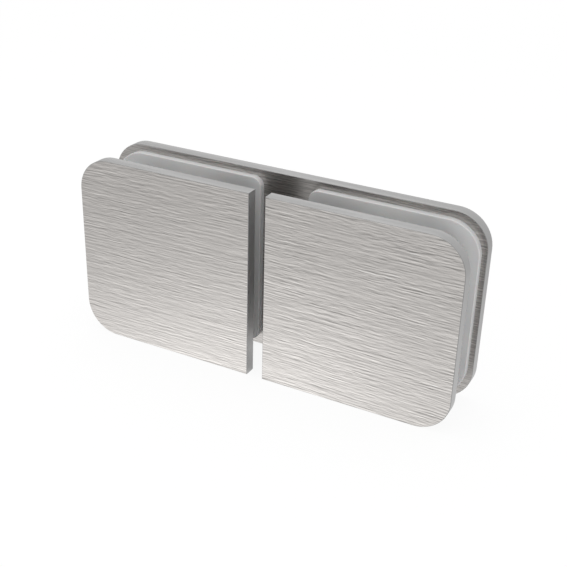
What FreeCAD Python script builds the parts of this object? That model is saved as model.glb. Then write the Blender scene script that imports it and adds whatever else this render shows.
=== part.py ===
import FreeCAD, Part
import math
import os
from enum import IntEnum

import Sketcher

# Glass-to-glass clamp, standing as it is used: X runs along the clamp from pane to pane, -Y is the
# front and +Z is up. The origin is the middle of the clamp, halfway between the two glass faces.
#
# One long rear plate carries two square front plates. Each half is drawn together by two countersunk
# screws, which pass through the rear plate and the cut-out in the glass into threaded bosses on the
# front plate. Gaskets line both plates of each half, and sleeves keep the bosses off the glass.

# Driving dimensions in millimetres
SIZES = {
    # Plates of brushed stainless sheet
    "plate_height": 45,
    "plate_width": 45,            # one front plate
    "plate_gap": 4,               # between the two front plates
    "plate_thickness": 3,
    "corner_radius": 8,           # the outer corners; the corners at the gap are square
    "edge_break": 0.1,            # the edges are dulled all round
    # Glass and gaskets
    "glass_thickness": 8,         # the open space between two gaskets
    "gasket_thickness": 1.6,
    "gasket_inset_top": 1.6,      # from the top and bottom edges of the plate
    "gasket_inset_end": 1.2,      # from the outer end of the plate
    "rear_gasket_setback": 4,     # from the front plate's edge at the gap
    "front_gasket_setback": 8,    # the front gaskets stop further from the gap
    "gasket_outer_radius": 7.6,
    "gasket_inner_radius": 2.4,
    "gasket_chamfer": 0.3,        # the eased edge on the glass side
    "gasket_hole_clearance": 0.25,
    # Countersunk screws with a hexagon socket
    "screw_inset": 11.5,          # from the top and bottom edges of the plate to the screws
    "screw_diameter": 5,
    "screw_length": 12,           # over all, as countersunk screws are measured
    "screw_tip_chamfer": 0.5,
    "screw_clearance": 0.25,      # round the shank in the rear plate
    "head_diameter": 10,
    "head_angle": 90,             # degrees, across the head's cone and its countersink
    "head_land": 0.2,             # the straight rim above the head's cone
    "head_clearance": 0.1,        # between the head and its countersink
    "socket_width": 3,            # across the flats
    "socket_depth": 2,
    "thread_clearance": 0.05,     # between the screw and the bore of the boss
    # Threaded bosses, welded to the front plate
    "closing_travel": 2,          # how far a front plate can close up on thinner glass
    "boss_end_gap": 0.5,          # left to the rear plate at the end of that travel
    "boss_diameter": 10,
    "boss_chamfer": 0.5,
    # Sleeves over the bosses
    "sleeve_wall": 1,
    "sleeve_setback": 0.5,        # short of the boss's end
    "sleeve_clearance": 0.05,
}

# Levels along Y, out from the middle of the glass, and the places of the screws along X and Z
GLASS_FACE = "sizes.glass_thickness / 2"
INNER_FACE = GLASS_FACE + " + sizes.gasket_thickness"
OUTER_FACE = INNER_FACE + " + sizes.plate_thickness"
SCREW_LINE = "(sizes.plate_gap + sizes.plate_width) / 2"
HALF_HEIGHT = "sizes.plate_height / 2"
SCREW_LEVEL = HALF_HEIGHT + " - sizes.screw_inset"

# Sizes that follow from the driving ones
HALF_WIDTH = "sizes.plate_width / 2"
HEAD_RADIUS = "sizes.head_diameter / 2"
SHANK_RADIUS = "sizes.screw_diameter / 2"
HEAD_TAPER = "tan(sizes.head_angle / 2)"
HEAD_DEPTH = "sizes.head_land + (" + HEAD_RADIUS + " - " + SHANK_RADIUS + ") / " + HEAD_TAPER
BORE_RADIUS = SHANK_RADIUS + " + sizes.thread_clearance"
BOSS_RADIUS = "sizes.boss_diameter / 2"
BOSS_LENGTH = (
    "sizes.glass_thickness + 2 * sizes.gasket_thickness - sizes.closing_travel - sizes.boss_end_gap"
)
SLEEVE_BORE = BOSS_RADIUS + " + sizes.sleeve_clearance"
SLEEVE_RADIUS = SLEEVE_BORE + " + sizes.sleeve_wall"
SLEEVE_LENGTH = BOSS_LENGTH + " - sizes.sleeve_setback"
GASKET_HOLE = SLEEVE_RADIUS + " + sizes.gasket_hole_clearance"

# A flat part is drawn flat and stood up with its Z towards the front or the back; a turned part
# has its axis along Z. The left half is the right half turned round.
TO_FRONT = FreeCAD.Rotation(FreeCAD.Vector(1, 0, 0), 90)
TO_BACK = FreeCAD.Rotation(FreeCAD.Vector(1, 0, 0), -90)
TURNED_ROUND = FreeCAD.Rotation(FreeCAD.Vector(0, 0, 1), 180)

LEVEL_TOLERANCE = 1e-6


class Spot(IntEnum):
    """The points of a line or an arc, as a sketch's constraints count them."""
    START = 1
    END = 2
    CENTRE = 3


class Axis(IntEnum):
    """The two axes of a sketch, as its constraints count them."""
    LEVEL = -1
    UPRIGHT = -2


ORIGIN = (Axis.LEVEL, Spot.START)


def negative(formula):
    return "-(" + formula + ")"


def half(side, formula):
    """The formula for the right half, or its mirror value for the left one."""
    if side == "right":
        return formula
    return negative(formula)


def fill_sheet(doc):
    sheet = doc.addObject("Spreadsheet::Sheet", "sizes")
    for row, (name, value) in enumerate(SIZES.items(), start=1):
        sheet.set("A" + str(row), name)
        sheet.set("B" + str(row), str(value))
        sheet.setAlias("B" + str(row), name)
    doc.recompute()


def new_body(doc, label):
    body = doc.addObject("PartDesign::Body", label)
    body.Label = label
    return body


def new_sketch(body, name, role):
    """An empty sketch on one of the body's own origin planes."""
    sketch = body.newObject("Sketcher::SketchObject", name)
    for plane in body.Origin.OriginFeatures:
        if plane.Role == role:
            sketch.AttachmentSupport = (plane, "")
    sketch.MapMode = "FlatFace"
    return sketch


def value(sketch, formula):
    return float(sketch.evalExpression(formula))


def fix(sketch, kind, elements, formula):
    """A dimension of the sketch, tied to the sheet."""
    index = sketch.addConstraint(Sketcher.Constraint(kind, *elements, value(sketch, formula)))
    sketch.setExpression("Constraints[" + str(index) + "]", formula)


def fix_point(sketch, element, point, x, y):
    """Ties a point to the origin, or to an axis where its distance from it is 0."""
    for kind, axis, formula in (("DistanceX", Axis.UPRIGHT, x), ("DistanceY", Axis.LEVEL, y)):
        if formula == "0":
            sketch.addConstraint(Sketcher.Constraint("PointOnObject", element, point, axis))
        else:
            fix(sketch, kind, (*ORIGIN, element, point), formula)


def add_circle(sketch, x, y, radius):
    centre = FreeCAD.Vector(value(sketch, x), value(sketch, y), 0)
    circle = Part.Circle(centre, FreeCAD.Vector(0, 0, 1), value(sketch, radius))
    index = sketch.addGeometry(circle, False)
    fix_point(sketch, index, Spot.CENTRE, x, y)
    fix(sketch, "Radius", (index,), radius)


def add_corner(sketch, corner, x, y, radius):
    """A quarter arc between the edge that ends at this corner and the one that starts there."""
    inward_x = -1 if x > 0 else 1
    inward_y = -1 if y > 0 else 1
    size = value(sketch, radius)
    centre = FreeCAD.Vector(x + inward_x * size, y + inward_y * size, 0)
    circle = Part.Circle(centre, FreeCAD.Vector(0, 0, 1), size)
    quarter = math.pi / 2
    first = (corner + 2) * quarter
    arc = sketch.addGeometry(Part.ArcOfCircle(circle, first, first + quarter), False)
    before = (corner - 1) % 4
    sketch.addConstraint(Sketcher.Constraint("Tangent", before, Spot.END, arc, Spot.START))
    sketch.addConstraint(Sketcher.Constraint("Tangent", arc, Spot.END, corner, Spot.START))
    fix(sketch, "Radius", (arc,), radius)


def add_outline(sketch, reach_left, reach_right, radius_left, radius_right, half_height):
    """A plate's or gasket's outline round the screw line. A radius of None leaves square corners."""
    left = -value(sketch, reach_left)
    right = value(sketch, reach_right)
    top = value(sketch, half_height)
    corners = ((left, -top), (right, -top), (right, top), (left, top))
    radii = (radius_left, radius_right, radius_right, radius_left)
    edges = ("Horizontal", "Vertical", "Horizontal", "Vertical")
    for corner, direction in enumerate(edges):
        start = FreeCAD.Vector(*corners[corner], 0)
        end = FreeCAD.Vector(*corners[(corner + 1) % 4], 0)
        along = (end - start).normalize()
        if radii[corner]:
            start = start + along * value(sketch, radii[corner])
        if radii[(corner + 1) % 4]:
            end = end - along * value(sketch, radii[(corner + 1) % 4])
        sketch.addGeometry(Part.LineSegment(start, end), False)
        sketch.addConstraint(Sketcher.Constraint(direction, corner))
    for corner, (x, y) in enumerate(corners):
        if radii[corner]:
            add_corner(sketch, corner, x, y, radii[corner])
        else:
            before = (corner - 1) % 4
            sketch.addConstraint(Sketcher.Constraint("Coincident", before, Spot.END, corner, Spot.START))
    bottom_edge, right_edge, top_edge, left_edge = range(4)
    fix(sketch, "DistanceX", (left_edge, Spot.START, *ORIGIN), reach_left)
    fix(sketch, "DistanceX", (*ORIGIN, right_edge, Spot.START), reach_right)
    fix(sketch, "DistanceY", (*ORIGIN, top_edge, Spot.START), half_height)
    fix(sketch, "DistanceY", (bottom_edge, Spot.START, *ORIGIN), half_height)


def add_hexagon(sketch, across_flats):
    """A hexagon about the origin, drawn in a construction circle through its corners."""
    sides = 6
    corner_radius = across_flats + " / sqrt(3)"
    size = value(sketch, corner_radius)
    corners = []
    for side in range(sides):
        turned = FreeCAD.Rotation(FreeCAD.Vector(0, 0, 1), 360 / sides * side)
        corners.append(turned.multVec(FreeCAD.Vector(size, 0, 0)))
    for side in range(sides):
        sketch.addGeometry(Part.LineSegment(corners[side], corners[(side + 1) % sides]), False)
    circle = Part.Circle(FreeCAD.Vector(0, 0, 0), FreeCAD.Vector(0, 0, 1), size)
    circle = sketch.addGeometry(circle, True)
    fix_point(sketch, circle, Spot.CENTRE, "0", "0")
    fix(sketch, "Radius", (circle,), corner_radius)
    for side in range(sides):
        following = (side + 1) % sides
        sketch.addConstraint(Sketcher.Constraint("Coincident", side, Spot.END, following, Spot.START))
        sketch.addConstraint(Sketcher.Constraint("PointOnObject", side, Spot.START, circle))
    for side in range(1, sides):
        sketch.addConstraint(Sketcher.Constraint("Equal", 0, side))
    sketch.addConstraint(Sketcher.Constraint("PointOnObject", 0, Spot.START, Axis.LEVEL))


def pad(body, sketch, length):
    feature = body.newObject("PartDesign::Pad", "sheet_pad")
    feature.Profile = sketch
    feature.setExpression("Length", length)
    body.Document.recompute()
    return feature


def pocket(body, sketch, depth):
    feature = body.newObject("PartDesign::Pocket", "pocket")
    feature.Profile = sketch
    feature.setExpression("Length", depth)
    body.Document.recompute()


def turn(body, corners):
    """Revolves a closed half profile about Z. Each corner is a formula for radius and height."""
    sketch = new_sketch(body, "profile", "XZ_Plane")
    points = [FreeCAD.Vector(value(sketch, r), value(sketch, z), 0) for r, z in corners]
    count = len(points)
    for index in range(count):
        line = Part.LineSegment(points[index], points[(index + 1) % count])
        sketch.addGeometry(line, False)
    for index, (radius, height) in enumerate(corners):
        before = (index - 1) % count
        sketch.addConstraint(Sketcher.Constraint("Coincident", before, Spot.END, index, Spot.START))
        fix_point(sketch, index, Spot.START, radius, height)
    feature = body.newObject("PartDesign::Revolution", "turning")
    feature.Profile = sketch
    feature.ReferenceAxis = (sketch, ["V_Axis"])
    feature.Angle = 360
    body.Document.recompute()


def outline_edges(shape, heights):
    """The names of the edges that follow a flat part's outline at the given heights."""
    names = []
    for index, edge in enumerate(shape.Edges, start=1):
        for height in heights:
            level = all(abs(vertex.Z - height) < LEVEL_TOLERANCE for vertex in edge.Vertexes)
            if level and not edge.isClosed():
                names.append("Edge" + str(index))
    return names


def break_edges(body, base, heights, size):
    """A chamfer along a flat part's outline."""
    feature = body.newObject("PartDesign::Chamfer", "edges")
    feature.Base = (base, outline_edges(base.Shape, heights))
    feature.setExpression("Size", size)
    body.Document.recompute()


def place(body, rotation, x, y, z):
    body.Placement = FreeCAD.Placement(FreeCAD.Vector(0, 0, 0), rotation)
    for axis, formula in (("x", x), ("y", y), ("z", z)):
        if formula != "0":
            body.setExpression("Placement.Base." + axis, formula)


def make_rear_plate(doc):
    """One plate behind both panes, with four countersunk holes. Its outer face is at Z 0."""
    body = new_body(doc, "rear_plate")
    sketch = new_sketch(body, "outline", "XY_Plane")
    reach = "sizes.plate_gap / 2 + sizes.plate_width"
    radius = "sizes.corner_radius"
    add_outline(sketch, reach, reach, radius, radius, HALF_HEIGHT)
    plate = pad(body, sketch, "sizes.plate_thickness")
    holes = new_sketch(body, "holes", "XY_Plane")
    through = SHANK_RADIUS + " + sizes.screw_clearance"
    for x in (SCREW_LINE, negative(SCREW_LINE)):
        for y in (SCREW_LEVEL, negative(SCREW_LEVEL)):
            add_circle(holes, x, y, through)
    sink = body.newObject("PartDesign::Hole", "countersinks")
    sink.Profile = holes
    doc.recompute()
    sink.ThreadType = "None"
    sink.DepthType = "ThroughAll"
    sink.HoleCutType = "Countersink"
    sink.HoleCutCustomValues = True
    sink.Reversed = True
    sink.setExpression("Diameter", "2 * (" + through + ")")
    sink.setExpression("HoleCutCountersinkAngle", "sizes.head_angle")
    rim = "sizes.head_clearance + sizes.head_land * " + HEAD_TAPER
    sink.setExpression("HoleCutDiameter", "sizes.head_diameter + 2 * (" + rim + ")")
    doc.recompute()
    faces = (0, value(sketch, "sizes.plate_thickness"))
    break_edges(body, sink, faces, "sizes.edge_break")
    place(body, TO_FRONT, "0", OUTER_FACE, "0")
    return body


def make_front_plate(doc, side):
    """A plain square plate, its corners at the gap left sharp. Its inner face is at Z 0."""
    body = new_body(doc, "front_plate_" + side)
    sketch = new_sketch(body, "outline", "XY_Plane")
    add_outline(sketch, HALF_WIDTH, HALF_WIDTH, None, "sizes.corner_radius", HALF_HEIGHT)
    plate = pad(body, sketch, "sizes.plate_thickness")
    faces = (0, value(sketch, "sizes.plate_thickness"))
    break_edges(body, plate, faces, "sizes.edge_break")
    turn_round = FreeCAD.Rotation() if side == "right" else TURNED_ROUND
    place(body, TO_FRONT * turn_round, half(side, SCREW_LINE), negative(INNER_FACE), "0")
    return body


def make_gasket(doc, carrier, side):
    """A moulded pad with two holes for the sleeved bosses. The plate side is at Z 0."""
    body = new_body(doc, carrier + "_gasket_" + side)
    sketch = new_sketch(body, "outline", "XY_Plane")
    add_outline(
        sketch,
        HALF_WIDTH + " - sizes." + carrier + "_gasket_setback",
        HALF_WIDTH + " - sizes.gasket_inset_end",
        "sizes.gasket_inner_radius",
        "sizes.gasket_outer_radius",
        HALF_HEIGHT + " - sizes.gasket_inset_top",
    )
    for y in (SCREW_LEVEL, negative(SCREW_LEVEL)):
        add_circle(sketch, "0", y, GASKET_HOLE)
    sheet = pad(body, sketch, "sizes.gasket_thickness")
    glass_side = (value(sketch, "sizes.gasket_thickness"),)
    break_edges(body, sheet, glass_side, "sizes.gasket_chamfer")
    facing = TO_FRONT if carrier == "rear" else TO_BACK
    turn_round = FreeCAD.Rotation() if side == "right" else TURNED_ROUND
    seat = INNER_FACE if carrier == "rear" else negative(INNER_FACE)
    place(body, facing * turn_round, half(side, SCREW_LINE), seat, "0")
    return body


def make_boss(doc, side, row):
    """A turned boss, threaded from end to end. Its foot is at Z 0, welded to the plate."""
    body = new_body(doc, "boss_" + side + "_" + row)
    chamfer = "sizes.boss_chamfer"
    corners = (
        (BORE_RADIUS, "0"),
        (BOSS_RADIUS, "0"),
        (BOSS_RADIUS, BOSS_LENGTH + " - " + chamfer),
        (BOSS_RADIUS + " - " + chamfer, BOSS_LENGTH),
        (BORE_RADIUS, BOSS_LENGTH),
    )
    turn(body, corners)
    place(body, TO_BACK, half(side, SCREW_LINE), negative(INNER_FACE), row_level(row))
    return body


def make_sleeve(doc, side, row):
    """A plain tube pushed over a boss, down to the front plate."""
    body = new_body(doc, "sleeve_" + side + "_" + row)
    corners = (
        (SLEEVE_BORE, "0"),
        (SLEEVE_RADIUS, "0"),
        (SLEEVE_RADIUS, SLEEVE_LENGTH),
        (SLEEVE_BORE, SLEEVE_LENGTH),
    )
    turn(body, corners)
    place(body, TO_BACK, half(side, SCREW_LINE), negative(INNER_FACE), row_level(row))
    return body


def make_screw(doc, side, row):
    """A countersunk screw with its head's face at Z 0 and its shank below it."""
    body = new_body(doc, "screw_" + side + "_" + row)
    tip = "-sizes.screw_length"
    tip_chamfer = "sizes.screw_tip_chamfer"
    corners = (
        ("0", "0"),
        (HEAD_RADIUS, "0"),
        (HEAD_RADIUS, "-sizes.head_land"),
        (SHANK_RADIUS, negative(HEAD_DEPTH)),
        (SHANK_RADIUS, tip + " + " + tip_chamfer),
        (SHANK_RADIUS + " - " + tip_chamfer, tip),
        ("0", tip),
    )
    turn(body, corners)
    hexagon = new_sketch(body, "hexagon", "XY_Plane")
    add_hexagon(hexagon, "sizes.socket_width")
    pocket(body, hexagon, "sizes.socket_depth")
    place(body, TO_BACK, half(side, SCREW_LINE), OUTER_FACE, row_level(row))
    return body


def row_level(row):
    return SCREW_LEVEL if row == "upper" else negative(SCREW_LEVEL)


def make_clamp(doc):
    fill_sheet(doc)
    parts = [make_rear_plate(doc)]
    for side in ("left", "right"):
        parts.append(make_front_plate(doc, side))
        for carrier in ("rear", "front"):
            parts.append(make_gasket(doc, carrier, side))
        for row in ("upper", "lower"):
            parts.append(make_boss(doc, side, row))
            parts.append(make_sleeve(doc, side, row))
            parts.append(make_screw(doc, side, row))
    doc.recompute()
    return parts


def check(doc, parts):
    for thing in doc.Objects:
        if "Invalid" in thing.State or "Error" in thing.State:
            raise RuntimeError(thing.Label + " failed: " + str(thing.State))
    for part in parts:
        if part.Shape.isNull() or not part.Shape.isValid() or len(part.Shape.Solids) != 1:
            raise RuntimeError(part.Label + " has no sound solid")


def write(parts):
    os.makedirs("parts", exist_ok=True)
    for part in parts:
        part.Shape.exportStep("parts/" + part.Label + ".step")
        print(part.Label, round(part.Shape.Volume, 2), "mm3")


document = FreeCAD.newDocument("glass_clamp")
clamp = make_clamp(document)
check(document, clamp)
write(clamp)
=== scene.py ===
import math

import bmesh
import bpy
from mathutils import Matrix, Vector


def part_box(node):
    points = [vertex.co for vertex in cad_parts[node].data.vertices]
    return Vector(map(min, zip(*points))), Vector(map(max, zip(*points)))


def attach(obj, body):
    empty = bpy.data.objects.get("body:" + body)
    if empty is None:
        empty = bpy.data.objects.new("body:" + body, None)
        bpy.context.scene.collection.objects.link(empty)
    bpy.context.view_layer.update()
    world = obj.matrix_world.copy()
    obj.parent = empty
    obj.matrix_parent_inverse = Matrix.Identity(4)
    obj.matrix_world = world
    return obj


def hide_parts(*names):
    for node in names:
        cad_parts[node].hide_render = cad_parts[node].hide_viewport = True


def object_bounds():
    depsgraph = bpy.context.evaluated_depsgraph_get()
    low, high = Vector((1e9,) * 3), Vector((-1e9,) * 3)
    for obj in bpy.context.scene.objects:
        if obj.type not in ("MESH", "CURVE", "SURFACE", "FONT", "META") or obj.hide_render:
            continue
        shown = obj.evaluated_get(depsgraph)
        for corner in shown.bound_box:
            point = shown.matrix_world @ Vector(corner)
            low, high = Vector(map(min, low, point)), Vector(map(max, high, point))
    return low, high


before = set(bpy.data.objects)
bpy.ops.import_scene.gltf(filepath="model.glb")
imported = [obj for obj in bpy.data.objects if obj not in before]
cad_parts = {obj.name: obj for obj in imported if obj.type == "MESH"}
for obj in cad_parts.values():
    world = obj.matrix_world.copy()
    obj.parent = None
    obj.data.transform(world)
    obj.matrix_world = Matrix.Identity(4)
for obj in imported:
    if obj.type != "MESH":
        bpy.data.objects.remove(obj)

cad_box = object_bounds()

# Front plates: a square of 3 mm stainless sheet on the front of each pane, rounded at the outer
# end and square at the gap. The broad faces are ground along the clamp, which leaves fine wavy
# hairlines, duller on the inner face, whose colour is also darkened as painted shade inside the slot.
# The cut edges are smooth and a little cooler in colour.
MM = 0.001
SIDES = ("left", "right")
SHEET_FACE = (0.655, 0.63, 0.608)
SHEET_EDGE = (0.562, 0.56, 0.557)
FACE_ROUGHNESS = 0.2
EDGE_ROUGHNESS = 0.5
INNER_ROUGHER = 0.12
# Painted shade on the front plates' inner face: its colour is darkened to this share.
FRONT_INNER_SHADE = 0.45
# Painted shade on the broken edges: their colour is darkened to this share.
BREAK_SHADE = 0.62
BROAD_FROM = 0.99
BREAK_FROM = 0.5
SHEET_STRETCH = 0.25
QUARTER_TURN = 0.25
HAIRLINES = {"Spacing": 0.29 * MM, "Length": 8.8 * MM, "Wave": 0.36 * MM}
HAIRLINE_DEPTH = 0.015 * MM
BEND_LENGTH = 4.5 * MM
SHORT_STROKES = (4.5, 1.2, 1.2)
LONG_SHARE = 0.8
SHORT_SHARE = 0.55
SHADOW_SHARE = 0.65
NOISE_MIDDLE = 0.5
PATCH_STRETCH = (0.6, 0.1, 0.07)
CALM_TO_BUSY = {"From Min": 0.3, "From Max": 0.7, "To Min": 0.7, "To Max": 1.3}
GRINDING = {
    "left": {"tilt": 0.8, "contrast": 1.37},
    "right": {"tilt": -0.5, "contrast": 1.62},
}


def add_node(tree, kind, inputs=(), **settings):
    """A shader node with its options set. An input is a value or another node's output."""
    made = tree.nodes.new("ShaderNode" + kind)
    for name, choice in settings.items():
        setattr(made, name, choice)
    for socket, source in dict(inputs).items():
        if isinstance(source, bpy.types.NodeSocket):
            tree.links.new(source, made.inputs[socket])
        else:
            made.inputs[socket].default_value = source
    return made


def reckon(tree, operation, *terms):
    """The output of a Math node."""
    return add_node(tree, "Math", enumerate(terms), operation=operation).outputs[0]


def reckon_place(tree, operation, *terms):
    """The vector output of a Vector Math node."""
    return add_node(tree, "VectorMath", enumerate(terms), operation=operation).outputs[0]


def by_mask(tree, mask, off, on):
    """One value where the mask is 0 and another where it is 1."""
    return add_node(tree, "MapRange", {"Value": mask, "To Min": off, "To Max": on}).outputs[0]


def new_group(name, inputs, outputs):
    """An empty node group with named sockets, and its input and output nodes."""
    group = bpy.data.node_groups.new(name, "ShaderNodeTree")
    for socket, kind in inputs:
        group.interface.new_socket(socket, in_out="INPUT", socket_type="NodeSocket" + kind)
    for socket, kind in outputs:
        group.interface.new_socket(socket, in_out="OUTPUT", socket_type="NodeSocket" + kind)
    return group, group.nodes.new("NodeGroupInput").outputs, group.nodes.new("NodeGroupOutput")


def wavy_course(group, given):
    """The place turned by the tilt, bent, and counted in hairline lengths and spacings."""
    turn = {"Vector": given["Position"], "Angle": given["Tilt"]}
    turned = add_node(group, "VectorRotate", turn, rotation_type="Y_AXIS").outputs[0]
    slow = add_node(group, "TexNoise", {"Vector": turned, "Scale": 1 / BEND_LENGTH, "Detail": 1.0})
    drift = reckon(group, "SUBTRACT", slow.outputs["Fac"], NOISE_MIDDLE)
    drift = reckon(group, "MULTIPLY", drift, given["Wave"])
    bent = reckon_place(group, "ADD", turned, add_node(group, "CombineXYZ", {"Z": drift}).outputs[0])
    cell = add_node(group, "CombineXYZ", {"X": given["Length"], "Y": given["Spacing"], "Z": given["Spacing"]})
    return reckon_place(group, "DIVIDE", bent, cell.outputs[0])


def patches(group, spot):
    """Slowly changing strength, so that calm and busy patches follow each other."""
    wide = reckon_place(group, "MULTIPLY", spot, PATCH_STRETCH)
    noise = add_node(group, "TexNoise", {"Vector": wide, "Scale": 1.0, "Detail": 1.0}).outputs["Fac"]
    return add_node(group, "MapRange", {"Value": noise, **CALM_TO_BUSY}).outputs[0]


def strokes(group, spot):
    """Noise drawn out into strokes, and its tone with a shadow along one side of each stroke."""
    here, next_to_it = (
        add_node(group, "TexNoise", {"Vector": at, "Scale": 1.0, "Detail": 2.0}).outputs["Fac"]
        for at in (spot, reckon_place(group, "ADD", spot, (0, 0, 1)))
    )
    shadowed = reckon(group, "MULTIPLY_ADD", here, -SHADOW_SHARE, next_to_it)
    return here, reckon(group, "SUBTRACT", shadowed, (1 - SHADOW_SHARE) / 2)


def hairline_group():
    """Fine lines along X on a face that looks along Y, long strokes with short ones between them."""
    sizes = tuple((name, "Float") for name in ("Spacing", "Length", "Wave", "Tilt"))
    outputs = (("Tone", "Float"), ("Height", "Float"))
    group, given, result = new_group("hairlines", (("Position", "Vector"), *sizes), outputs)
    spot = wavy_course(group, given)
    long_noise, long_tone = strokes(group, spot)
    short_tone = strokes(group, reckon_place(group, "MULTIPLY", spot, SHORT_STROKES))[1]
    long_part = reckon(group, "MULTIPLY", long_tone, LONG_SHARE)
    short_part = reckon(group, "MULTIPLY", short_tone, SHORT_SHARE)
    tone = reckon(group, "MULTIPLY", reckon(group, "ADD", long_part, short_part), patches(group, spot))
    group.links.new(tone, result.inputs["Tone"])
    group.links.new(reckon(group, "SUBTRACT", long_noise, NOISE_MIDDLE), result.inputs["Height"])


def new_material(name, colour):
    """A material with a Principled shader, and the colour that it has in a plain viewport."""
    material = bpy.data.materials.new(name)
    material.use_nodes = True
    material.diffuse_color = (*colour, 1)
    return material, material.node_tree, material.node_tree.nodes["Principled BSDF"].inputs


def shade_colour(tree, shader, colour, light):
    """The base colour, made lighter and darker by a pattern about 1."""
    shaded = add_node(tree, "VectorMath", {0: colour, "Scale": light}, operation="SCALE")
    tree.links.new(shaded.outputs[0], shader["Base Color"])


def stretch_gloss(tree, shader, axis, stretch):
    """Gloss drawn out across fine grooves, which run round the axis. Round Z is along a flat front."""
    grooves = add_node(tree, "Tangent", direction_type="RADIAL", axis=axis)
    tree.links.new(grooves.outputs[0], shader["Tangent"])
    shader["Anisotropic"].default_value = stretch
    shader["Anisotropic Rotation"].default_value = QUARTER_TURN


def fine_relief(tree, shader, height, depth):
    """Relief that is too fine to be modelled, as a bump of the given depth."""
    bump = add_node(tree, "Bump", {"Height": height, "Distance": depth})
    tree.links.new(bump.outputs[0], shader["Normal"])


def face_masks(tree, normal, inward):
    """Masks of the broad faces, of the inner one of them, and of the broken edges round them."""
    facing = add_node(tree, "SeparateXYZ", {"Vector": normal}).outputs["Y"]
    squareness = reckon(tree, "ABSOLUTE", facing)
    broad = reckon(tree, "GREATER_THAN", squareness, BROAD_FROM)
    inner = reckon(tree, "GREATER_THAN", reckon(tree, "MULTIPLY", facing, inward), BROAD_FROM)
    edge_break = reckon(tree, "SUBTRACT", reckon(tree, "GREATER_THAN", squareness, BREAK_FROM), broad)
    return broad, inner, edge_break


def ground_sheet(name, inward, inner_shade, tilt, contrast):
    """Ground stainless sheet. Inward is the side along Y that the inner face looks to."""
    material, tree, shader = new_material(name, SHEET_FACE)
    place = add_node(tree, "TexCoord").outputs
    lines = add_node(
        tree,
        "Group",
        {"Position": place["Object"], "Tilt": math.radians(tilt), **HAIRLINES},
        node_tree=bpy.data.node_groups["hairlines"],
    ).outputs
    broad, inner, edge_break = face_masks(tree, place["Normal"], inward)
    light = reckon(tree, "MULTIPLY_ADD", reckon(tree, "MULTIPLY", lines["Tone"], broad), contrast, 1.0)
    # Painted shade: the inner face inside the slot and the broken edges are darkened by their shares.
    for mask, share in ((inner, inner_shade), (edge_break, BREAK_SHADE)):
        light = reckon(tree, "MULTIPLY", light, by_mask(tree, mask, 1.0, share))
    colours = {"Factor": broad, "A": (*SHEET_EDGE, 1), "B": (*SHEET_FACE, 1)}
    shade_colour(tree, shader, add_node(tree, "Mix", colours, data_type="RGBA").outputs["Result"], light)
    shader["Metallic"].default_value = 1.0
    rough = by_mask(tree, broad, EDGE_ROUGHNESS, FACE_ROUGHNESS)
    tree.links.new(reckon(tree, "MULTIPLY_ADD", inner, INNER_ROUGHER, rough), shader["Roughness"])
    stretch_gloss(tree, shader, "Z", SHEET_STRETCH)
    fine_relief(tree, shader, reckon(tree, "MULTIPLY", lines["Height"], broad), HAIRLINE_DEPTH)
    return material


hairline_group()
for side in SIDES:
    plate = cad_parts["front_plate_" + side]
    plate.data.materials[0] = ground_sheet("ground_front_" + side, 1, FRONT_INNER_SHADE, **GRINDING[side])

# Threaded bosses: turned from stainless bar and welded to the back of the front plates. They stand
# in the cut-out of the glass and take the screws.
ROWS = ("upper", "lower")
SCREW_NAMES = [side + "_" + row for side in SIDES for row in ROWS]
TURNED_STEEL = (0.6, 0.59, 0.58)
TURNED_ROUGHNESS = 0.3
TURNED_STRETCH = 0.6
RING_SPACING = 0.2 * MM
BOSS_RINGS = {"contrast": 0.5, "depth": 0.01 * MM}


def ring_group():
    """Rings left by a turning tool, round an axis along Y through the given centre."""
    inputs = (("Position", "Vector"), ("Centre", "Vector"), ("Spacing", "Float"))
    group, given, result = new_group("turning_rings", inputs, (("Tone", "Float"),))
    from_centre = reckon_place(group, "SUBTRACT", given["Position"], given["Centre"])
    across = reckon_place(group, "MULTIPLY", from_centre, (1, 0, 1))
    radius = add_node(group, "VectorMath", {0: across}, operation="LENGTH").outputs["Value"]
    along = add_node(group, "SeparateXYZ", {"Vector": from_centre}).outputs["Y"]
    rings_out = reckon(group, "DIVIDE", radius, given["Spacing"])
    rings_along = reckon(group, "DIVIDE", along, given["Spacing"])
    spot = add_node(group, "CombineXYZ", {"X": rings_out, "Y": rings_along}).outputs[0]
    noise = add_node(group, "TexNoise", {"Vector": spot, "Scale": 1.0, "Detail": 1.0}).outputs["Fac"]
    group.links.new(reckon(group, "SUBTRACT", noise, NOISE_MIDDLE), result.inputs["Tone"])


def turned_metal(name, centre, colour, contrast, depth):
    """Turned stainless steel, with its rings about the piece's own axis."""
    material, tree, shader = new_material(name, colour)
    place = add_node(tree, "TexCoord").outputs["Object"]
    rings = add_node(
        tree,
        "Group",
        {"Position": place, "Centre": centre, "Spacing": RING_SPACING},
        node_tree=bpy.data.node_groups["turning_rings"],
    ).outputs["Tone"]
    shade_colour(tree, shader, colour, reckon(tree, "MULTIPLY_ADD", rings, contrast, 1.0))
    shader["Metallic"].default_value = 1.0
    shader["Roughness"].default_value = TURNED_ROUGHNESS
    stretch_gloss(tree, shader, "Y", TURNED_STRETCH)
    fine_relief(tree, shader, rings, depth)
    return material


def middle(node):
    low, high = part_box(node)
    return (low + high) / 2


ring_group()
for name in SCREW_NAMES:
    boss = "boss_" + name
    steel = turned_metal("turned_" + boss, middle(boss), TURNED_STEEL, **BOSS_RINGS)
    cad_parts[boss].data.materials[0] = steel

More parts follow.
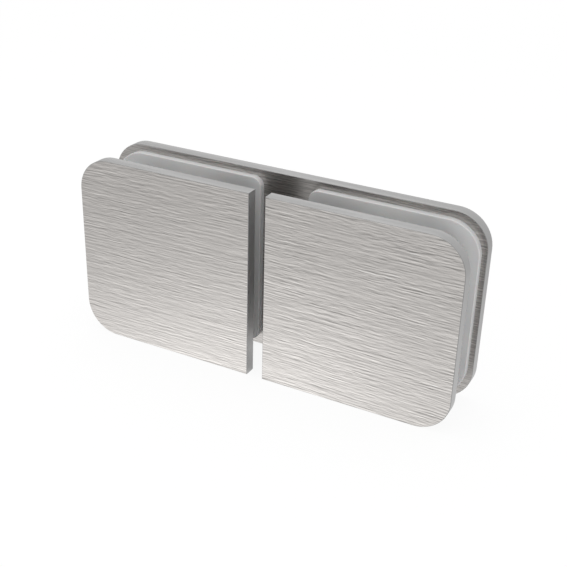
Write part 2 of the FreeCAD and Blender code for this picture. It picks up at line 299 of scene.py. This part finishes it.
# Sleeves: short lengths of natural nylon tube, pushed over the bosses so that the steel never
# touches the glass.
NYLON = (0.78, 0.77, 0.73)
NYLON_ROUGHNESS = 0.42
NYLON_SKIN = {"clouds": 2.5 * MM, "grain": 0.3 * MM, "contrast": 0.15, "depth": 0.004 * MM, "glow": 0.2}
GLOW_REACH = 1 * MM
SLEEVE_WALL = 1 * MM
SLEEVE_EASING = 0.12 * MM
CIRCLE_STEPS = 72
ROUNDING_STEPS = 5
PLASTIC_SHARP = math.radians(50)


def cloud_group():
    """Slow clouding and a fine grain, for soft plastics."""
    inputs = (("Position", "Vector"), ("Cloud Size", "Float"), ("Grain Size", "Float"))
    group, given, result = new_group("plastic_clouds", inputs, (("Cloud", "Float"), ("Grain", "Float")))
    for size, output, detail in (("Cloud Size", "Cloud", 2.0), ("Grain Size", "Grain", 1.0)):
        scale = reckon(group, "DIVIDE", 1.0, given[size])
        noise = add_node(group, "TexNoise", {"Vector": given["Position"], "Scale": scale, "Detail": detail})
        group.links.new(reckon(group, "SUBTRACT", noise.outputs["Fac"], NOISE_MIDDLE), result.inputs[output])


def soft_plastic(name, colour, roughness, clouds, grain, contrast, depth, glow):
    """A translucent plastic: light spreads a little way under its skin."""
    material, tree, shader = new_material(name, colour)
    place = add_node(tree, "TexCoord").outputs["Object"]
    skin = add_node(
        tree,
        "Group",
        {"Position": place, "Cloud Size": clouds, "Grain Size": grain},
        node_tree=bpy.data.node_groups["plastic_clouds"],
    ).outputs
    shade_colour(tree, shader, colour, reckon(tree, "MULTIPLY_ADD", skin["Cloud"], contrast, 1.0))
    rough = reckon(tree, "MULTIPLY_ADD", skin["Cloud"], contrast, roughness)
    tree.links.new(rough, shader["Roughness"])
    shader["Subsurface Weight"].default_value = glow
    shader["Subsurface Scale"].default_value = GLOW_REACH
    fine_relief(tree, shader, skin["Grain"], depth)
    return material


def circle(x, z, radius):
    angles = [2 * math.pi * step / CIRCLE_STEPS for step in range(CIRCLE_STEPS)]
    return [(x + radius * math.cos(angle), z + radius * math.sin(angle)) for angle in angles]


def add_loop(bm, points, y):
    return [bm.verts.new((x, y, z)) for x, z in points]


def add_wall(bm, loops):
    """Quads between each loop and the next. Returns the edges of the first and last loop."""
    count = len(loops[0])
    for first, second in zip(loops, loops[1:]):
        for index in range(count):
            following = (index + 1) % count
            bm.faces.new((first[index], first[following], second[following], second[index]))
    ends = []
    for loop in (loops[0], loops[-1]):
        ends.append([bm.edges.get((loop[index], loop[(index + 1) % count])) for index in range(count)])
    return ends


def rounded(radius):
    """Steps round a quarter circle, as how far in and how far below the top each one lies."""
    angles = [math.pi / 2 * step / ROUNDING_STEPS for step in range(ROUNDING_STEPS + 1)]
    return [(radius * (1 - math.cos(angle)), radius * (1 - math.sin(angle))) for angle in angles]


def finish_mesh(bm, name, sharp, material):
    """The mesh as an object, smooth apart from its sharp edges, its large faces kept flat."""
    bmesh.ops.recalc_face_normals(bm, faces=bm.faces)
    mesh = bpy.data.meshes.new(name)
    bm.to_mesh(mesh)
    bm.free()
    mesh.shade_smooth()
    mesh.set_sharp_from_angle(angle=sharp)
    mesh.materials.append(material)
    piece = bpy.data.objects.new(name, mesh)
    bpy.context.scene.collection.objects.link(piece)
    weigh = piece.modifiers.new("flat_faces", "WEIGHTED_NORMAL")
    weigh.keep_sharp = True
    return piece


def make_sleeve(name, nylon):
    """A cut length of tube, its four rims eased."""
    node = "sleeve_" + name
    low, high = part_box(node)
    axis = middle(node)
    outside = (high.x - low.x) / 2
    bore = outside - SLEEVE_WALL
    bm = bmesh.new()
    loops = []
    for radius, into_wall, start, end in ((outside, -1, low.y, high.y), (bore, 1, high.y, low.y)):
        onward = 1 if end > start else -1
        for inset, below in reversed(rounded(SLEEVE_EASING)):
            rim = circle(axis.x, axis.z, radius + into_wall * inset)
            loops.append(add_loop(bm, rim, start + onward * below))
        for inset, below in rounded(SLEEVE_EASING):
            rim = circle(axis.x, axis.z, radius + into_wall * inset)
            loops.append(add_loop(bm, rim, end - onward * below))
    add_wall(bm, loops + loops[:1])
    piece = finish_mesh(bm, "nylon_" + node, PLASTIC_SHARP, nylon)
    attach(piece, "front_" + name.split("_")[0])
    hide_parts(node)


cloud_group()
nylon = soft_plastic("nylon", NYLON, NYLON_ROUGHNESS, **NYLON_SKIN)
for name in SCREW_NAMES:
    make_sleeve(name, nylon)

# Gaskets: moulded pads of soft translucent grey vinyl, glued to each plate where it grips the glass,
# the front ones shorter towards the gap. Each has two holes for the sleeved bosses, and its edge on
# the glass side is rounded.
GASKET_NODES = [carrier + "_gasket_" + side for side in SIDES for carrier in ("rear", "front")]
VINYL = (0.53, 0.53, 0.53)
VINYL_ROUGHNESS = 0.4
VINYL_SKIN = {"clouds": 6 * MM, "grain": 0.25 * MM, "contrast": 0.08, "depth": 0.003 * MM, "glow": 0.1}
OUTER_RADIUS = 7.6 * MM
INNER_RADIUS = 2.4 * MM
ROUNDING = 0.2 * MM
HOLE_ROUNDING = 0.15 * MM
HOLE_CLEARANCE = 0.25 * MM
CORNER_STEPS = 16


def pad_outline(half_length, half_height, out, inset):
    """The pad's outline about its middle, drawn in by an inset. Out is the side of the outer end."""
    points = []
    corners = ((1, 1), (-1, 1), (-1, -1), (1, -1))
    for quarter, (across, up) in enumerate(corners):
        radius = OUTER_RADIUS if across == out else INNER_RADIUS
        centre_x = across * (half_length - radius)
        centre_z = up * (half_height - radius)
        for step in range(CORNER_STEPS + 1):
            angle = (quarter + step / CORNER_STEPS) * math.pi / 2
            reach = radius - inset
            points.append((centre_x + reach * math.cos(angle), centre_z + reach * math.sin(angle)))
    return points


def pad_levels(plate_y, glass_y, rounding):
    """The steps of a wall from the plate to its rounded edge at the glass: how far in, and at what Y."""
    back = 1 if plate_y > glass_y else -1
    return [(0, plate_y)] + [(inset, glass_y + back * below) for inset, below in rounded(rounding)]


def pad_holes(side):
    """Where the pad's two holes lie and their radius, from the sleeves that they clear."""
    low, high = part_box("sleeve_" + side + "_upper")
    x, z = (low.x + high.x) / 2, (low.z + high.z) / 2
    radius = (high.x - low.x) / 2 + HOLE_CLEARANCE
    return [(x, z, radius), (x, -z, radius)]


def make_gasket(node, vinyl):
    """A pad: its outer wall and the walls of its holes, then its faces on the plate and on the glass."""
    low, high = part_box(node)
    centre = (low + high) / 2
    half = (high - low) / 2
    carrier, side = node.split("_gasket_")
    out = 1 if side == "right" else -1
    plate_y, glass_y = (high.y, low.y) if carrier == "rear" else (low.y, high.y)
    bm = bmesh.new()
    loops = []
    for inset, y in pad_levels(plate_y, glass_y, ROUNDING):
        outline = pad_outline(half.x, half.z, out, inset)
        loops.append(add_loop(bm, [(centre.x + x, z) for x, z in outline], y))
    plate_edges, glass_edges = add_wall(bm, loops)
    for x, z, radius in pad_holes(side):
        levels = pad_levels(plate_y, glass_y, HOLE_ROUNDING)
        hole_ends = add_wall(bm, [add_loop(bm, circle(x, z, radius + inset), y) for inset, y in levels])
        plate_edges += hole_ends[0]
        glass_edges += hole_ends[1]
    for edges in (plate_edges, glass_edges):
        bmesh.ops.triangle_fill(bm, edges=edges, use_beauty=True)
    piece = finish_mesh(bm, "vinyl_" + node, PLASTIC_SHARP, vinyl)
    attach(piece, "rear" if carrier == "rear" else "front_" + side)
    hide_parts(node)


vinyl = soft_plastic("vinyl", VINYL, VINYL_ROUGHNESS, **VINYL_SKIN)
for node in GASKET_NODES:
    make_gasket(node, vinyl)

# Rear plate: one length of the same sheet behind both panes, ground the same way, with four
# countersunk holes for the screws.
# Its inner face takes painted shade: a darker colour where it faces the front plates.
REAR_INNER_SHADE = 0.71
REAR_GRINDING = {"tilt": 0.0, "contrast": 1.4}

rear_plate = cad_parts["rear_plate"]
rear_plate.data.materials[0] = ground_sheet("ground_rear", -1, REAR_INNER_SHADE, **REAR_GRINDING)

# Screws: M5 countersunk stainless screws, their heads flush with the rear plate and their threads
# in the bosses. The face is turned, and the hexagon socket has a small cone at its mouth and a
# drill point in its floor.
SCREW_STEEL = (0.58, 0.57, 0.56)
SCREW_RINGS = {"contrast": 0.6, "depth": 0.006 * MM}
HEAD_RADIUS = 5 * MM
HEAD_LAND = 0.2 * MM
HEAD_ROUNDING = 0.08 * MM
SHANK_RADIUS = 2.5 * MM
SCREW_LENGTH = 12 * MM
TIP_CHAMFER = 0.5 * MM
THREAD_PITCH = 0.8 * MM
THREAD_DEPTH = 0.49 * MM
THREAD_START = 3.1 * MM
RUNOUT = 0.8 * MM
CREST_SHARE = 0.125
ROOT_SHARE = 0.25
SOCKET_FLATS = 1.5 * MM
SOCKET_DEPTH = 2 * MM
SOCKET_MOUTH = 1.8 * MM
MOUTH_SLOPE = 0.6
POINT_RADIUS = 1.35 * MM
POINT_DEPTH = 0.55 * MM
ROWS_PER_TURN = 12
SCREW_COLUMNS = 72
SCREW_SHARP = math.radians(25)


def hexagon(angle):
    """How far a hexagon's edge is from its middle, in the direction of the angle."""
    sixth = math.pi / 3
    return SOCKET_FLATS / math.cos((angle + sixth / 2) % sixth - sixth / 2)


def thread_radius(angle, down):
    """The radius of the right-handed thread at an angle and a depth below the head's face."""
    turn = (down / THREAD_PITCH - angle / (2 * math.pi)) % 1
    flank = (1 - CREST_SHARE - ROOT_SHARE) / 2
    from_crest = abs(turn - 1 / 2) - CREST_SHARE / 2
    cut = min(max(from_crest / flank, 0), 1)
    fade_in = (down - THREAD_START) / RUNOUT
    fade_out = (SCREW_LENGTH - down) / TIP_CHAMFER
    fade = min(max(min(fade_in, fade_out), 0), 1)
    return SHANK_RADIUS - THREAD_DEPTH * cut * fade


def round_row(radius, down):
    return [(radius, down)] * SCREW_COLUMNS


def screw_rows(angles):
    """The screw from its socket's floor to its tip. A row is a radius and a depth at each angle."""
    walls = [hexagon(angle) for angle in angles]
    rows = [
        round_row(POINT_RADIUS, SOCKET_DEPTH),
        [(wall, SOCKET_DEPTH) for wall in walls],
        [(wall, (SOCKET_MOUTH - wall) * MOUTH_SLOPE) for wall in walls],
        round_row(SOCKET_MOUTH, 0),
        round_row((SOCKET_MOUTH + HEAD_RADIUS) / 2, 0),
    ]
    rows += [round_row(HEAD_RADIUS - inset, below) for inset, below in reversed(rounded(HEAD_ROUNDING))]
    rows += [
        round_row(HEAD_RADIUS, HEAD_LAND),
        round_row(SHANK_RADIUS, HEAD_LAND + HEAD_RADIUS - SHANK_RADIUS),
        round_row(SHANK_RADIUS, THREAD_START),
    ]
    thread_rows = round((SCREW_LENGTH - TIP_CHAMFER - THREAD_START) / THREAD_PITCH * ROWS_PER_TURN)
    for row in range(1, thread_rows + 1):
        down = THREAD_START + row * THREAD_PITCH / ROWS_PER_TURN
        rows.append([(thread_radius(angle, down), down) for angle in angles])
    return rows + [round_row(SHANK_RADIUS - TIP_CHAMFER, SCREW_LENGTH)]


def make_screw(name):
    """A screw in place, its socket closed by the drill point and its tip by a flat end."""
    node = "screw_" + name
    low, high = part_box(node)
    face = Vector(((low.x + high.x) / 2, high.y, (low.z + high.z) / 2))
    angles = [2 * math.pi * column / SCREW_COLUMNS for column in range(SCREW_COLUMNS)]
    bm = bmesh.new()
    loops = []
    for row in screw_rows(angles):
        loop = []
        for angle, (radius, down) in zip(angles, row):
            spot = Vector((radius * math.cos(angle), -down, radius * math.sin(angle)))
            loop.append(bm.verts.new(face + spot))
        loops.append(loop)
    add_wall(bm, loops)
    for loop, down in ((loops[0], SOCKET_DEPTH + POINT_DEPTH), (loops[-1], SCREW_LENGTH)):
        tip = bm.verts.new(face + Vector((0, -down, 0)))
        for index in range(SCREW_COLUMNS):
            bm.faces.new((loop[index], loop[(index + 1) % SCREW_COLUMNS], tip))
    steel = turned_metal("steel_" + node, face, SCREW_STEEL, **SCREW_RINGS)
    piece = finish_mesh(bm, "turned_" + node, SCREW_SHARP, steel)
    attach(piece, node)
    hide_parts(node)


for name in SCREW_NAMES:
    make_screw(name)

# Floor: a wide white sheet that the clamp stands on. It keeps the clamp's shadow, and fades to pure
# white further off. In the metal it glows with a painted pool of light, brightest round the clamp and
# greyer further off, and a small patch of painted shade under the gap.
FLOOR_RADIUS = 2.0
FLOOR_STEPS = 96
FLOOR_PAINT = (0.9, 0.9, 0.9)
WHITE_SHARE = 0.9
WHITE_FROM = 3
WHITE_ALL = 9
POOL_CENTRE = (-4 * MM, 10 * MM, 0)
POOL_SIZE = (53 * MM, 47 * MM, 1)
POOL_BRIGHT = 0.736
POOL_FAR = 0.547
SHADE_CENTRE = (1.5 * MM, -2.5 * MM, 0)
SHADE_FULL = 3 * MM
SHADE_END = 9 * MM
SHADE_SHARE = 0.45


def floor_in_metal(tree, place, away):
    """How bright the metal shows the floor: a painted pool of light, with painted shade under the gap."""
    fall = reckon(tree, "DIVIDE", POOL_BRIGHT, reckon(tree, "MULTIPLY_ADD", away, away, 1.0))
    pool = reckon(tree, "ADD", fall, POOL_FAR)
    off_gap = add_node(tree, "VectorMath", {0: place, 1: SHADE_CENTRE}, operation="DISTANCE").outputs["Value"]
    clear = {"Value": off_gap, "From Min": SHADE_FULL, "From Max": SHADE_END, "To Min": SHADE_SHARE}
    unshaded = add_node(tree, "MapRange", clear, interpolation_type="SMOOTHSTEP").outputs[0]
    return reckon(tree, "MULTIPLY", pool, unshaded)


def floor_to_camera(tree, body, away):
    """What the camera sees: the paint with its shadow, mixed with pure white, and all white far off."""
    fading = {"Value": away, "From Min": WHITE_FROM, "From Max": WHITE_ALL, "To Min": WHITE_SHARE}
    whiteness = add_node(tree, "MapRange", fading).outputs[0]
    white = add_node(tree, "Emission", {"Strength": 1.0}).outputs[0]
    return add_node(tree, "MixShader", {0: whiteness, 1: body, 2: white}).outputs[0]


def mirrored(tree, ray):
    """1 on a ray that left metal or glass, and 0 on any other."""
    return reckon(tree, "MAXIMUM", ray["Is Glossy Ray"], ray["Is Transmission Ray"])


def floor_material():
    material, tree, shader = new_material("floor", FLOOR_PAINT)
    shader["Base Color"].default_value = (*FLOOR_PAINT, 1)
    shader["Roughness"].default_value = 1.0
    shader["Specular IOR Level"].default_value = 0.0
    place = add_node(tree, "TexCoord").outputs["Object"]
    in_sizes = reckon_place(tree, "DIVIDE", reckon_place(tree, "SUBTRACT", place, POOL_CENTRE), POOL_SIZE)
    away = add_node(tree, "VectorMath", {0: in_sizes}, operation="LENGTH").outputs["Value"]
    ray = add_node(tree, "LightPath").outputs
    body = tree.nodes["Principled BSDF"].outputs[0]
    seen = floor_to_camera(tree, body, away)
    by_camera = add_node(tree, "MixShader", {0: ray["Is Camera Ray"], 1: body, 2: seen}).outputs[0]
    bright = add_node(tree, "Emission", {"Strength": floor_in_metal(tree, place, away)}).outputs[0]
    surface = add_node(tree, "MixShader", {0: mirrored(tree, ray), 1: by_camera, 2: bright}).outputs[0]
    tree.links.new(surface, tree.nodes["Material Output"].inputs["Surface"])
    return material


def make_floor():
    bm = bmesh.new()
    bmesh.ops.create_circle(bm, cap_ends=True, segments=FLOOR_STEPS, radius=FLOOR_RADIUS)
    mesh = bpy.data.meshes.new("floor")
    bm.to_mesh(mesh)
    bm.free()
    mesh.materials.append(floor_material())
    floor = bpy.data.objects.new("floor", mesh)
    floor.location.z = cad_box[0].z
    bpy.context.scene.collection.objects.link(floor)


make_floor()

# Studio: an even pale room with three soft lamps, a wide one overhead and two weaker ones low down
# to the front left and the front right.
ROOM_LIGHT = 0.85
ROOM_IN_METAL = 0.66
ROOM_SHOWN = 1.0
LAMPS = (
    {"name": "overhead", "place": (-0.1, 0.05, 0.8), "size": 0.8, "power": 2.5},
    {"name": "left", "place": (-0.6, -0.6, 0.24), "size": 0.5, "power": 1.0},
    {"name": "right", "place": (0.4, -0.7, 0.13), "size": 0.25, "power": 1.4},
)


def make_room():
    world = bpy.data.worlds.new("room")
    bpy.context.scene.world = world
    world.use_nodes = True
    tree = world.node_tree
    ray = add_node(tree, "LightPath").outputs
    lit = by_mask(tree, mirrored(tree, ray), ROOM_LIGHT, ROOM_IN_METAL)
    background = tree.nodes["Background"].inputs
    background["Color"].default_value = (1, 1, 1, 1)
    tree.links.new(by_mask(tree, ray["Is Camera Ray"], lit, ROOM_SHOWN), background["Strength"])


def make_lamp(name, place, size, power):
    """A square lamp that looks at the clamp."""
    lamp = bpy.data.lights.new(name, "AREA")
    lamp.size = size
    lamp.energy = power
    holder = bpy.data.objects.new(name, lamp)
    holder.location = place
    holder.rotation_euler = Vector(place).to_track_quat("Z", "Y").to_euler()
    bpy.context.scene.collection.objects.link(holder)


make_room()
for lamp in LAMPS:
    make_lamp(**lamp)

# Camera: to the right of the clamp and above it, with a slight roll, as the photograph was taken.
CAMERA_AZIMUTH = math.radians(27.23)
CAMERA_ELEVATION = math.radians(26.622)
CAMERA_ROLL = math.radians(1.658)
CAMERA_DISTANCE = 230.38 * MM
CAMERA_TARGET = Vector((2.504, 0, -1.442)) * MM
CAMERA_LENS = 64.25
CAMERA_SENSOR = 36
CAMERA_NEAREST = 1 * MM


def make_camera():
    level = math.cos(CAMERA_ELEVATION)
    back = Vector(
        (
            math.sin(CAMERA_AZIMUTH) * level,
            -math.cos(CAMERA_AZIMUTH) * level,
            math.sin(CAMERA_ELEVATION),
        )
    )
    right = Vector((0, 0, 1)).cross(back).normalized()
    upright = Matrix((right, back.cross(right), back)).transposed()
    data = bpy.data.cameras.new("camera")
    data.lens = CAMERA_LENS
    data.sensor_width = CAMERA_SENSOR
    data.clip_start = CAMERA_NEAREST
    camera = bpy.data.objects.new("camera", data)
    turned = upright @ Matrix.Rotation(CAMERA_ROLL, 3, "Z")
    camera.matrix_world = Matrix.Translation(CAMERA_TARGET + back * CAMERA_DISTANCE) @ turned.to_4x4()
    bpy.context.scene.collection.objects.link(camera)
    bpy.context.scene.camera = camera


make_camera()
bpy.context.scene.view_settings.view_transform = "Standard"
